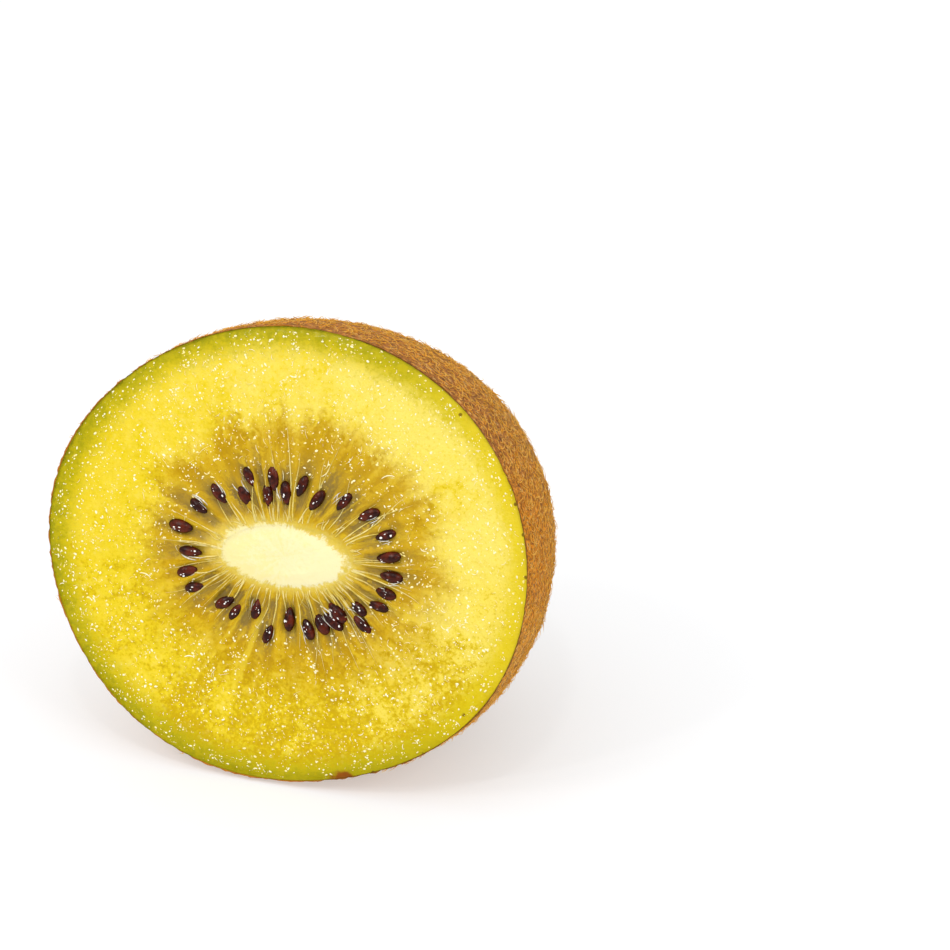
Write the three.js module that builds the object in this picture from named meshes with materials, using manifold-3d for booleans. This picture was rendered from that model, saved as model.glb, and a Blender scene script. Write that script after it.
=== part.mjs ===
// Half of a golden kiwi fruit, cut across its middle and lying on its side. Millimetres, +Z up.
// The cut face looks towards -Y and a little upward, and the fruit rests on a small flat spot of
// its skin at Z = 0. The origin is the centre of the bounding box's bottom.
import * as THREE from "three";
import Module from "manifold-3d";

// The fruit's body, in millimetres, and how it lies, in degrees.
const halfWidth = 26.8; // half of the cut face's wide axis
const halfHeight = 24.3; // half of its narrow axis
const halfLength = 35.5; // from the cut face to the shoulder round the stalk
const fullness = 2.18; // 2 gives an ellipse along the length, more gives fuller shoulders
const faceTilt = 14; // how far the cut face looks up
const faceRoll = 4.1; // how far its wide axis is turned from level
const flatDepth = 1.5; // how far the ripe fruit has settled onto its resting spot

// The cut outline's own unevenness: waves round it, as shares of its radius.
const outlineWaves = [
  { turns: 3, cosine: -0.0023, sine: -0.0008 },
  { turns: 4, cosine: -0.0027, sine: -0.0064 },
  { turns: 5, cosine: -0.0025, sine: 0.0025 },
];

const skinThickness = 0.6;
const stalkRoot = 1.1; // thickness of the skin under the stalk

// The woody ring that the stalk leaves on the far end, from its foot to its dished middle.
const stalkRing = [
  { radius: 3.6, height: -0.22 },
  { radius: 2.7, height: 0.0 },
  { radius: 2.3, height: 0.5 },
  { radius: 2.2, height: 1.35 },
  { radius: 1.6, height: 1.45 },
  { radius: 1.1, height: 0.8 },
];
const stalkDish = 0.7; // height of the dish's middle

// The pale core: an oval column that narrows towards the far end.
const coreHalfWidth = 7.1;
const coreHalfHeight = 3.2;
const coreDepth = 27;
const coreTipLength = 1; // the blunt point past that depth
const coreNarrowing = 0.55; // its width at the far end, as a share of that at the face
const coreRise = 0.3; // how far the firm core stands above the softer flesh
const coreEdge = 0.11; // width of the slope up to that height, as a share of the core's radius

// The seed chambers round the core, and the rays of flesh between them. Places across the face
// run from 0 at the core to 1 at the skin.
const chamberCount = 32;
const chamberStart = 0.08;
const chamberFull = 0.25; // a chamber keeps its depth as far as this
const chamberEnd = 0.42;
const chamberSink = 0.4; // depth of a chamber below its rays

// Where the chambers crowd together: waves round the core, in radians.
const chamberCrowding = [
  { turns: 1, cosine: -0.114, sine: -0.059 },
  { turns: 2, cosine: -0.078, sine: 0.073 },
  { turns: 3, cosine: -0.099, sine: -0.019 },
  { turns: 4, cosine: 0.034, sine: 0 },
];

// The flesh outside the chambers stands up in a low swell.
const fleshSwell = { height: 0.2, start: 0.3, full: 0.6, fallsFrom: 0.85 };

// The seeds, one to a chamber.
const seedLength = 2.4;
const seedWidth = 1.25;
const seedDepth = 1.1;
const seedTaper = 0.22; // how much narrower the end by the core is, as a share of the width
const seedSizeSpread = 0.1; // random part of a seed's size
const seedRise = 0.22; // height of a seed's middle above the bottom of its chamber
const seedRingStretch = 1.3; // the ring of seeds is this much wider than it is high
const seedRingRadius = 7.27; // its half height
const seedRingSideReach = 1.84; // the seeds beside the core's ends lie this much further out
const seedRowOffset = 0.62; // every second seed lies this much further out, the others in
const seedRowFade = 0.4; // how much of that offset is lost beside the core's ends
const seedScatter = 0.7; // random shift of a seed along its chamber
const seedLean = 24; // random turn of a seed over its whole range, in degrees
const seedDrawStart = 23;
const emptyChamber = 18; // its seed lies below the cut

// How finely the shapes are cut into facets.
const stepsAround = 2 * chamberCount; // one for each ray and one for each chamber
const stepsAlong = 12;
const lastStepAlong = 0.88; // where the last ring lies on the way to the far end
const stepsAcrossFace = 13;
const faceStepGrowth = 1.2; // above 1 the rings lie closer together by the core
const stepsDownCore = 4;
const stepsAcrossCore = 2;
const seedSides = 8;
const seedRings = 6;
const reachSteps = { along: 90, around: 360 }; // for finding how far down the body reaches
const samePlace = 1e-4; // corners closer than this are one

// Colour and roughness of each piece.
const finishes = {
  skin: { color: 0x9a6c33, roughness: 0.85 },
  flesh: { color: 0xe2c52a, roughness: 0.3 },
  core: { color: 0xf5efb8, roughness: 0.4 },
};

const degrees = Math.PI / 180;

// The turn from the fruit's own frame to the part's. In its own frame the cut face lies in the
// XY plane, wide along X, and the fruit hangs below it along -Z.
const lyingTurn = new THREE.Quaternion()
  .setFromAxisAngle(new THREE.Vector3(1, 0, 0), (90 - faceTilt) * degrees)
  .multiply(
    new THREE.Quaternion().setFromAxisAngle(
      new THREE.Vector3(0, 0, 1),
      faceRoll * degrees,
    ),
  );
const down = new THREE.Vector3(0, 0, -1).applyQuaternion(
  lyingTurn.clone().invert(),
);

// The same row of numbers from 0 to 1 on every run, from a linear congruential generator.
const drawMultiplier = 1664525;
const drawIncrement = 1013904223;
function randomDraw(start) {
  let state = start;
  return () => {
    state = (Math.imul(state, drawMultiplier) + drawIncrement) >>> 0;
    return state / 2 ** 32;
  };
}

function smoothStep(from, to, value) {
  const t = Math.min(Math.max((value - from) / (to - from), 0), 1);
  return t * t * (3 - 2 * t);
}

function waveSum(waves, angle) {
  return waves.reduce(
    (sum, w) =>
      sum + w.cosine * Math.cos(w.turns * angle) + w.sine * Math.sin(w.turns * angle),
    0,
  );
}

// The real angle round the core for an evenly spaced turn.
function crowdedAngle(turn) {
  return turn + waveSum(chamberCrowding, turn);
}

// A point of the fruit's outside, or of a layer the given depth below it. Along runs from 0 at
// the cut to 1 at the far end.
function bodyPoint(angle, along, layer) {
  const sine = Math.sin((along * Math.PI) / 2);
  const share = Math.pow(Math.max(1 - Math.pow(sine, fullness), 0), 1 / fullness);
  const wave = 1 + waveSum(outlineWaves, angle);
  const endLayer = layer > 0 ? stalkRoot : 0;
  return new THREE.Vector3(
    (halfWidth * wave - layer) * share * Math.cos(angle),
    (halfHeight * wave - layer) * share * Math.sin(angle),
    -(halfLength - endLayer) * sine,
  );
}

// How far the round fruit would reach down, and where its resting spot cuts it off.
const roundReach = Math.max(
  ...Array.from({ length: reachSteps.along + 1 }, (_, row) =>
    Math.max(
      ...Array.from({ length: reachSteps.around }, (_, k) => {
        const angle = (k / reachSteps.around) * 2 * Math.PI;
        return bodyPoint(angle, row / reachSteps.along, 0).dot(down);
      }),
    ),
  ),
);
const restReach = roundReach - flatDepth;

// Presses a point up onto the resting spot, or onto the layer above it.
function pressed(point, layer) {
  const over = point.dot(down) - (restReach - layer);
  return over > 0 ? point.addScaledVector(down, -over) : point;
}

// The points of one ring, from a function of the real angle and of the even turn behind it.
function ring(pointAt) {
  return Array.from({ length: stepsAround }, (_, k) => {
    const turn = (k / stepsAround) * 2 * Math.PI;
    return pointAt(crowdedAngle(turn), turn);
  });
}

// Rings along one layer of the body, from the cut to just before the far end.
function bodyRings(layer) {
  return Array.from({ length: stepsAlong }, (_, row) => {
    const along = (row / (stepsAlong - 1)) * lastStepAlong;
    return ring((angle) => pressed(bodyPoint(angle, along, layer), layer));
  });
}

// A closed surface that runs from one point, over the rings, to another point.
function closedSurface(start, rings, end, turnedOver) {
  const points = [start, ...rings.flat(), end];
  const at = (row, k) => 1 + row * stepsAround + (k % stepsAround);
  const faces = [];
  for (let k = 0; k < stepsAround; k++) {
    faces.push([0, at(0, k), at(0, k + 1)]);
    for (let row = 0; row < rings.length - 1; row++) {
      faces.push([at(row, k), at(row + 1, k), at(row, k + 1)]);
      faces.push([at(row, k + 1), at(row + 1, k), at(row + 1, k + 1)]);
    }
    faces.push([points.length - 1, at(rings.length - 1, k + 1), at(rings.length - 1, k)]);
  }
  const geometry = new THREE.BufferGeometry().setFromPoints(points);
  geometry.setIndex(faces.flatMap(([a, b, c]) => (turnedOver ? [a, c, b] : [a, b, c])));
  return geometry;
}

// The skin: a thin shell with the woody stalk ring on its far end, open at the cut.
function skinGeometry() {
  const stalkPoint = (angle, { radius, height }) =>
    new THREE.Vector3(
      radius * Math.cos(angle),
      radius * Math.sin(angle),
      -(halfLength + height),
    );
  const outside = bodyRings(0);
  stalkRing.forEach((step) => outside.push(ring((angle) => stalkPoint(angle, step))));
  return closedSurface(
    new THREE.Vector3(0, 0, -(halfLength + stalkDish)),
    [...outside.reverse(), ...bodyRings(skinThickness)],
    new THREE.Vector3(0, 0, -(halfLength - stalkRoot)),
    true,
  );
}

// A point of the core's side. Deep runs from 0 at the face to 1 at its far end.
function corePoint(angle, deep) {
  const narrowed = 1 - (1 - coreNarrowing) * deep;
  return new THREE.Vector3(
    coreHalfWidth * narrowed * Math.cos(angle),
    coreHalfHeight * narrowed * Math.sin(angle),
    -coreDepth * deep,
  );
}

// Rings up the core's side, from its far end to the face.
function coreRings() {
  return Array.from({ length: stepsDownCore + 1 }, (_, row) =>
    ring((angle) => corePoint(angle, 1 - row / stepsDownCore)),
  );
}
const coreTip = new THREE.Vector3(0, 0, -coreDepth - coreTipLength);

function coreGeometry() {
  const face = Array.from({ length: stepsAcrossCore }, (_, row) => {
    const share = (1 - coreEdge) * (1 - row / stepsAcrossCore);
    return ring((angle) => corePoint(angle, 0).multiplyScalar(share).setZ(coreRise));
  });
  return closedSurface(
    coreTip,
    [...coreRings(), ...face],
    new THREE.Vector3(0, 0, coreRise),
    true,
  );
}

// Height of the flesh's cut face at an even turn round the core, which sets the chamber.
function faceHeight(turn, across) {
  const chamber = 0.5 - 0.5 * Math.cos(chamberCount * turn);
  const inChambers =
    smoothStep(0, chamberStart, across) * (1 - smoothStep(chamberFull, chamberEnd, across));
  const { height, start, full, fallsFrom } = fleshSwell;
  const swell = smoothStep(start, full, across) * (1 - smoothStep(fallsFrom, 1, across));
  return height * swell - chamberSink * chamber * inChambers;
}

function facePoint(angle, turn, across) {
  const outer = pressed(bodyPoint(angle, 0, skinThickness), skinThickness);
  return corePoint(angle, 0).lerp(outer, across).setZ(faceHeight(turn, across));
}

// The flesh without its seeds: it fills the skin and holds the core in a socket.
function fleshGeometry() {
  const face = Array.from({ length: stepsAcrossFace - 1 }, (_, row) => {
    const across = Math.pow((row + 1) / stepsAcrossFace, faceStepGrowth);
    return ring((angle, turn) => facePoint(angle, turn, across));
  });
  return closedSurface(
    coreTip,
    [...coreRings(), ...face, ...bodyRings(skinThickness)],
    new THREE.Vector3(0, 0, -(halfLength - stalkRoot)),
    false,
  );
}

// Where the seeds lie on the cut face: one to a chamber, in two uneven rows.
function seedPlaces() {
  const draw = randomDraw(seedDrawStart);
  const places = Array.from({ length: chamberCount }, (_, k) => {
    const angle = crowdedAngle(((k + 0.5) / chamberCount) * 2 * Math.PI);
    const sideways = Math.cos(angle) ** 2; // 1 beside the core's ends, 0 above and below it
    const rowOffset = k % 2 ? -seedRowOffset : seedRowOffset;
    const radius =
      seedRingRadius +
      seedRingSideReach * sideways +
      rowOffset * (1 - seedRowFade * sideways) +
      seedScatter * (2 * draw() - 1);
    const lean = (draw() - 0.5) * seedLean * degrees;
    const size = 1 + seedSizeSpread * (2 * draw() - 1);
    const x = seedRingStretch * radius * Math.cos(angle);
    const y = radius * Math.sin(angle);
    return { x, y, turn: Math.atan2(y, x) + lean, size };
  });
  return places.filter((_, k) => k !== emptyChamber);
}

// One seed: an oval, a little narrower at the end by the core.
function seedGeometry({ x, y, turn, size }) {
  const seed = new THREE.SphereGeometry(1, seedSides, seedRings).rotateZ(-Math.PI / 2);
  const position = seed.getAttribute("position");
  for (let i = 0; i < position.count; i++) {
    const width = 1 + seedTaper * position.getX(i);
    position.setY(i, position.getY(i) * width);
    position.setZ(i, position.getZ(i) * width);
  }
  return seed
    .scale((seedLength / 2) * size, (seedWidth / 2) * size, (seedDepth / 2) * size)
    .rotateZ(turn)
    .translate(x, y, seedRise - chamberSink);
}

const manifold = await Module();
manifold.setup();

function solidFrom(geometry) {
  const corners = geometry.index
    ? Array.from(geometry.index.array)
    : Array.from({ length: geometry.attributes.position.count }, (_, i) => i);
  const position = geometry.getAttribute("position");
  const places = new Map();
  const points = [];
  const merged = corners.map((i) => {
    const point = [position.getX(i), position.getY(i), position.getZ(i)];
    const key = point.map((v) => Math.round(v / samePlace)).join();
    if (!places.has(key)) places.set(key, points.push(point) - 1);
    return places.get(key);
  });
  const faces = [];
  for (let i = 0; i < merged.length; i += 3) {
    const [a, b, c] = merged.slice(i, i + 3);
    if (a !== b && b !== c && c !== a) faces.push(a, b, c);
  }
  return new manifold.Manifold(
    new manifold.Mesh({
      numProp: 3,
      vertProperties: new Float32Array(points.flat()),
      triVerts: new Uint32Array(faces),
    }),
  );
}

function geometryFrom(solid) {
  const mesh = solid.getMesh();
  const geometry = new THREE.BufferGeometry();
  geometry.setAttribute("position", new THREE.BufferAttribute(mesh.vertProperties, 3));
  geometry.setIndex(new THREE.BufferAttribute(mesh.triVerts, 1));
  return geometry;
}

// The flesh with its seeds grown into it, each sunk about halfway.
function seededFleshGeometry() {
  return geometryFrom(
    seedPlaces().reduce(
      (flesh, place) => flesh.add(solidFrom(seedGeometry(place))),
      solidFrom(fleshGeometry()),
    ),
  );
}

function piece(name, geometry) {
  geometry.computeVertexNormals();
  const material = new THREE.MeshStandardMaterial({ ...finishes[name], metalness: 0 });
  const mesh = new THREE.Mesh(geometry, material);
  mesh.name = name;
  return mesh;
}

const fruit = new THREE.Group();
fruit.add(
  piece("skin", skinGeometry()),
  piece("flesh", seededFleshGeometry()),
  piece("core", coreGeometry()),
);
fruit.quaternion.copy(lyingTurn);

// Stands the fruit on Z = 0 with its bounding box centred over the origin.
fruit.updateMatrixWorld(true);
const extent = new THREE.Box3().setFromObject(fruit, true);
const middle = extent.getCenter(new THREE.Vector3());
fruit.position.set(-middle.x, -middle.y, -extent.min.z);

const part = new THREE.Group();
part.add(fruit);

export default part;
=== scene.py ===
import math

import bpy
import numpy as np
from mathutils import Matrix, Vector


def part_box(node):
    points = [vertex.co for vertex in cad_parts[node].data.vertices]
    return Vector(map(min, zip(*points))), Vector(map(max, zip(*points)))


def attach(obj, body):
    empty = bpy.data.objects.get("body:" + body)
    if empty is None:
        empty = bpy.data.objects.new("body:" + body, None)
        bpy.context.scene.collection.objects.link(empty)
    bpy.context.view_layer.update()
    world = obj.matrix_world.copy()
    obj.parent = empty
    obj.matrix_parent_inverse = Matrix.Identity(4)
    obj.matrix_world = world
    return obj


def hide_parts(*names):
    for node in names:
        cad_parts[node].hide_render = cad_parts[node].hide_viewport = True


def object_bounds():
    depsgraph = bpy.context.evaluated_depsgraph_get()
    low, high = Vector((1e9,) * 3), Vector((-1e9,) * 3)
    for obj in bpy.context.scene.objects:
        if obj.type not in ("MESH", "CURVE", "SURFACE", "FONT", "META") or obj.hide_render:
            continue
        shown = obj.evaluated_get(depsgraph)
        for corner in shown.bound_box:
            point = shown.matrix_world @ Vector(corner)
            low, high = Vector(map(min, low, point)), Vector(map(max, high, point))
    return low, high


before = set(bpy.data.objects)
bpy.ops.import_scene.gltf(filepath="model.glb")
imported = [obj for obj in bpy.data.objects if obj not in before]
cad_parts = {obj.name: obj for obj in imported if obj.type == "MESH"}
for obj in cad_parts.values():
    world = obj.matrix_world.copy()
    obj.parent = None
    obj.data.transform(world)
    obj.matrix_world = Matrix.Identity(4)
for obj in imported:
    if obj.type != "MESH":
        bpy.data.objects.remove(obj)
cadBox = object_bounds()
mm = 0.001
print("frame loaded")


# The fruit's own shape, in its own frame: the cut face lies in the XY plane, wide along X, and
# the body runs from it along -Z. Lengths are in metres and angles in degrees.
fruit = {
    "halfWidth": 26.8 * mm,
    "halfHeight": 24.3 * mm,
    "halfLength": 35.5 * mm,
    "fullness": 2.18,
    "faceTilt": 14,
    "faceRoll": 4.1,
    "flatDepth": 1.5 * mm,
    "outlineWaves": ((3, -0.0023, -0.0008), (4, -0.0027, -0.0064), (5, -0.0025, 0.0025)),
    "chambers": 32,
    # where the chambers crowd together round the core
    "crowding": ((1, -0.114, -0.059), (2, -0.078, 0.073), (3, -0.099, -0.019), (4, 0.034, 0)),
    "stalkTop": ((2.2 * mm, 1.35 * mm), (1.6 * mm, 1.45 * mm)),
    "solidColumns": 64,
    "solidRows": 12,
    "solidLastRow": 0.88,
}


def waveSum(waves, angle):
    return sum(c * np.cos(n * angle) + s * np.sin(n * angle) for n, c, s in waves)


def crowdedAngle(turn):
    return turn + waveSum(fruit["crowding"], turn)


def smoothStep(low, high, value):
    t = np.clip((value - low) / (high - low), 0, 1)
    return t * t * (3 - 2 * t)


def band(low, full, fading, end, value):
    # 1 from full to fading, and 0 before low and after end
    return smoothStep(low, full, value) * (1 - smoothStep(fading, end, value))


def bodyPoint(angle, along, inset):
    # along runs from 0 at the cut to 1 at the far end
    sine = np.sin(along * math.pi / 2)
    share = np.maximum(1 - sine ** fruit["fullness"], 0) ** (1 / fruit["fullness"])
    wave = 1 + waveSum(fruit["outlineWaves"], angle)
    x = (fruit["halfWidth"] * wave - inset) * share * np.cos(angle)
    y = (fruit["halfHeight"] * wave - inset) * share * np.sin(angle)
    z = -(fruit["halfLength"] - inset) * sine
    return np.stack(np.broadcast_arrays(x, y, z), -1)


lyingTurn = Matrix.Rotation(math.radians(90 - fruit["faceTilt"]), 3, "X") @ Matrix.Rotation(
    math.radians(fruit["faceRoll"]), 3, "Z"
)
turnArray = np.array(lyingTurn)
down = turnArray.T @ np.array((0, 0, -1.0))


def evenTurns(count):
    return np.arange(count) / count * 2 * math.pi


roundReach = (bodyPoint(evenTurns(360), np.linspace(0, 1, 91)[:, None], 0) @ down).max()
restReach = roundReach - fruit["flatDepth"]


def pressed(points, layer=0.0):
    # flattens what would reach below the resting spot
    over = np.maximum(points @ down - (restReach - layer), 0)
    return points - over[..., None] * down


def findPlace():
    # sets the shape over the skin's solid, so that both have the same box
    angle = crowdedAngle(evenTurns(fruit["solidColumns"]))
    along = np.linspace(0, fruit["solidLastRow"], fruit["solidRows"])[:, None]
    points = [pressed(bodyPoint(angle, along, 0)).reshape(-1, 3)]
    for radius, height in fruit["stalkTop"]:
        level = np.full_like(angle, -fruit["halfLength"] - height)
        points.append(np.stack([radius * np.cos(angle), radius * np.sin(angle), level], -1))
    turned = np.concatenate(points) @ turnArray.T
    low, high = (np.array(corner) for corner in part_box("skin"))
    return Vector((low + high) / 2 - (turned.min(0) + turned.max(0)) / 2)


facePlace = findPlace()
toPart = Matrix.Translation(facePlace) @ lyingTurn.to_4x4()


# The camera stands where the photograph was taken from, seen from the middle of the cut face.
view = {
    "azimuth": 19.34,
    "elevation": 24.87,
    "distance": 500 * mm,
    "pixelsPerMillimetre": 9.62,
    "faceMiddlePixel": (285.34, 556.06),
    "imageSize": 950,
    "sensor": 36.0,
}


def makeCamera():
    a, e = math.radians(view["azimuth"]), math.radians(view["elevation"])
    forward = Vector((-math.sin(a) * math.cos(e), math.cos(a) * math.cos(e), -math.sin(e)))
    right = Vector((math.cos(a), math.sin(a), 0))
    up = right.cross(forward)
    half = view["imageSize"] / 2
    acrossPixels = view["faceMiddlePixel"][0] - half
    upPixels = half - view["faceMiddlePixel"][1]
    pixel = mm / view["pixelsPerMillimetre"]  # size of a pixel at the cut face
    camera = bpy.data.objects.new("camera", bpy.data.cameras.new("camera"))
    camera.location = (
        facePlace
        - forward * view["distance"]
        - right * acrossPixels * pixel
        - up * upPixels * pixel
    )
    camera.rotation_euler = Matrix((right, up, -forward)).transposed().to_euler()
    camera.data.sensor_width = view["sensor"]
    focalPixels = view["pixelsPerMillimetre"] * view["distance"] / mm
    camera.data.lens = focalPixels / view["imageSize"] * view["sensor"]
    camera.data.clip_start = 0.01
    camera.data.clip_end = 10
    bpy.context.scene.collection.objects.link(camera)
    bpy.context.scene.camera = camera


makeCamera()
print("camera placed")


# Wraps one output of a node, so that sums and products of outputs add Math nodes.
class Value:
    def __init__(self, graph, socket):
        self.graph = graph
        self.socket = socket

    def __add__(self, other):
        return self.graph.maths("ADD", self, other)

    def __sub__(self, other):
        return self.graph.maths("SUBTRACT", self, other)

    def __mul__(self, other):
        return self.graph.maths("MULTIPLY", self, other)

    def __truediv__(self, other):
        return self.graph.maths("DIVIDE", self, other)

    def __pow__(self, other):
        return self.graph.maths("POWER", self, other)

    def __rsub__(self, other):
        return self.graph.maths("SUBTRACT", other, self)

    def __rtruediv__(self, other):
        return self.graph.maths("DIVIDE", other, self)

    __radd__ = __add__
    __rmul__ = __mul__

    def root(self):
        return self.graph.maths("SQRT", self)

    def least(self, other):
        return self.graph.maths("MINIMUM", self, other)

    def most(self, other):
        return self.graph.maths("MAXIMUM", self, other)

    def step(self, low, high):
        # 0 below low and 1 above high, smooth between them; low may be the larger
        sockets = {"Value": self, "From Min": low, "From Max": high}
        return self.graph.node("ShaderNodeMapRange", {"interpolation_type": "SMOOTHSTEP"}, sockets)


# A node tree of a material or of a modifier.
class Graph:
    def __init__(self, tree):
        self.tree = tree

    def feed(self, socket, value):
        if isinstance(value, Value):
            self.tree.links.new(value.socket, socket)
        else:
            socket.default_value = value

    def node(self, kind, settings=None, sockets=None, out=0):
        made = self.tree.nodes.new(kind)
        for name, value in (settings or {}).items():
            if name == "stops":
                ramp = made.color_ramp
                while len(ramp.elements) < len(value):
                    ramp.elements.new(0.5)
                for element, (position, colour) in zip(ramp.elements, value):
                    element.position = position
                    element.color = (*colour, 1)
            else:
                setattr(made, name, value)
        for key, value in (sockets or {}).items():
            self.feed(made.inputs[key], value)
        return Value(self, made.outputs[out]) if made.outputs else made

    def maths(self, operation, first, second=0.0):
        sockets = {0: first} if operation == "SQRT" else {0: first, 1: second}
        return self.node("ShaderNodeMath", {"operation": operation}, sockets)

    def other(self, value, out):
        # another output of the node that a value comes from
        return Value(self, value.socket.node.outputs[out])

    def vector(self, x, y, z):
        return self.node("ShaderNodeCombineXYZ", None, {0: x, 1: y, 2: z})

    def parts(self, place):
        x = self.node("ShaderNodeSeparateXYZ", None, {0: place})
        return x, self.other(x, "Y"), self.other(x, "Z")


# A material's tree, with the few calls that colours and patterns need.
class Finish(Graph):
    def __init__(self, name, palette=None):
        self.palette = palette
        self.colour = None
        self.material = bpy.data.materials.new(name)
        self.material.use_nodes = True
        super().__init__(self.material.node_tree)
        self.shader = self.tree.nodes["Principled BSDF"]

    def tint(self, colour):
        # a colour is a value, a name in the palette, or its red, green and blue
        if isinstance(colour, str):
            colour = self.palette[colour]
        return colour if isinstance(colour, Value) else (*colour, 1)

    def blend(self, share, first, second, mode="MIX"):
        settings = {"data_type": "RGBA", "blend_type": mode}
        sockets = {0: share, 6: self.tint(first), 7: self.tint(second)}
        return self.node("ShaderNodeMix", settings, sockets, 2)

    def lay(self, share, colour):
        # lays a colour over what is there, as far as the share says
        self.colour = self.blend(share, self.colour, colour)

    def noise(self, place, scale, detail=2.0, roughness=0.5, distortion=0.0):
        sockets = {"Vector": place, "Scale": scale, "Detail": detail}
        sockets |= {"Roughness": roughness, "Distortion": distortion}
        return self.node("ShaderNodeTexNoise", None, sockets)

    def cells(self, place, scale):
        return self.node("ShaderNodeTexVoronoi", None, {"Vector": place, "Scale": scale})

    def fruitPlace(self):
        # place in the fruit's own frame, in millimetres
        coordinates = self.node("ShaderNodeTexCoord", None, None, "Object")
        sockets = {"Vector": coordinates, "Location": facePlace}
        sockets |= {"Rotation": lyingTurn.to_euler(), "Scale": (mm, mm, mm)}
        return self.node("ShaderNodeMapping", {"vector_type": "TEXTURE"}, sockets)

    def attribute(self, name):
        settings = {"attribute_name": name, "attribute_type": "GEOMETRY"}
        return self.node("ShaderNodeAttribute", settings, None, "Fac")

    def bump(self, height, distance, strength=1.0):
        sockets = {"Height": height, "Distance": distance, "Strength": strength}
        return self.node("ShaderNodeBump", None, sockets)

    def done(self, sockets):
        for key, value in sockets.items():
            self.feed(self.shader.inputs[key], value)
        return self.material


# What the cut face's colours are made of. Lengths are in millimetres.
cutFace = {
    "lemon": (0.84, 0.67, 0.008),
    # painted shade: the darker, deeper lemon of the flesh's lower part
    "deepLemon": (0.63, 0.44, 0.003),
    "cloud": (0.93, 0.755, 0.075),
    "pale": (0.97, 0.85, 0.25),
    "gold": (0.64, 0.40, 0.002),
    "deepGold": (0.50, 0.29, 0.002),
    "ray": (0.78, 0.57, 0.045),
    "olive": (0.285, 0.20, 0.055),
    "cream": (1.0, 0.96, 0.80),
    "paleCream": (0.99, 0.92, 0.62),
    "innerCream": (0.88, 0.72, 0.20),
    "green": (0.47, 0.42, 0.003),
    "deepGreen": (0.22, 0.25, 0.003),
    "bruise": (0.33, 0.10, 0.008),
    "speck": (0.16, 0.07, 0.006),
    "tone": (0.88, 0.83, 0.57),
    "halfWidth": 26.4,
    "halfHeight": 23.9,
    "coreHalfWidth": 7.1,
    "coreHalfHeight": 3.2,
    "coreShift": -0.4,
    "coreTilt": math.radians(-5),
    "zoneHalfWidth": 17.2,
    "zoneHalfHeight": 14.5,
    "zoneShift": 0.9,
    "zoneRise": 0.7,
    "bruisePlace": (6.6, -23.2),
    "bruiseRadius": 2.0,
}


def oval(x, y, halfWidth, halfHeight):
    # 0 in the middle of an oval and 1 on its outline
    return ((x / halfWidth) ** 2 + (y / halfHeight) ** 2).root()


def streaks(finish, x, y, radius, across, along, sway, detail=3):
    # noise drawn out along the lines that run from the middle, bent sideways by sway
    bent = finish.vector(x / radius * across + sway, y / radius * across + sway, radius * along)
    return finish.noise(bent, 1.0, detail)


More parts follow.
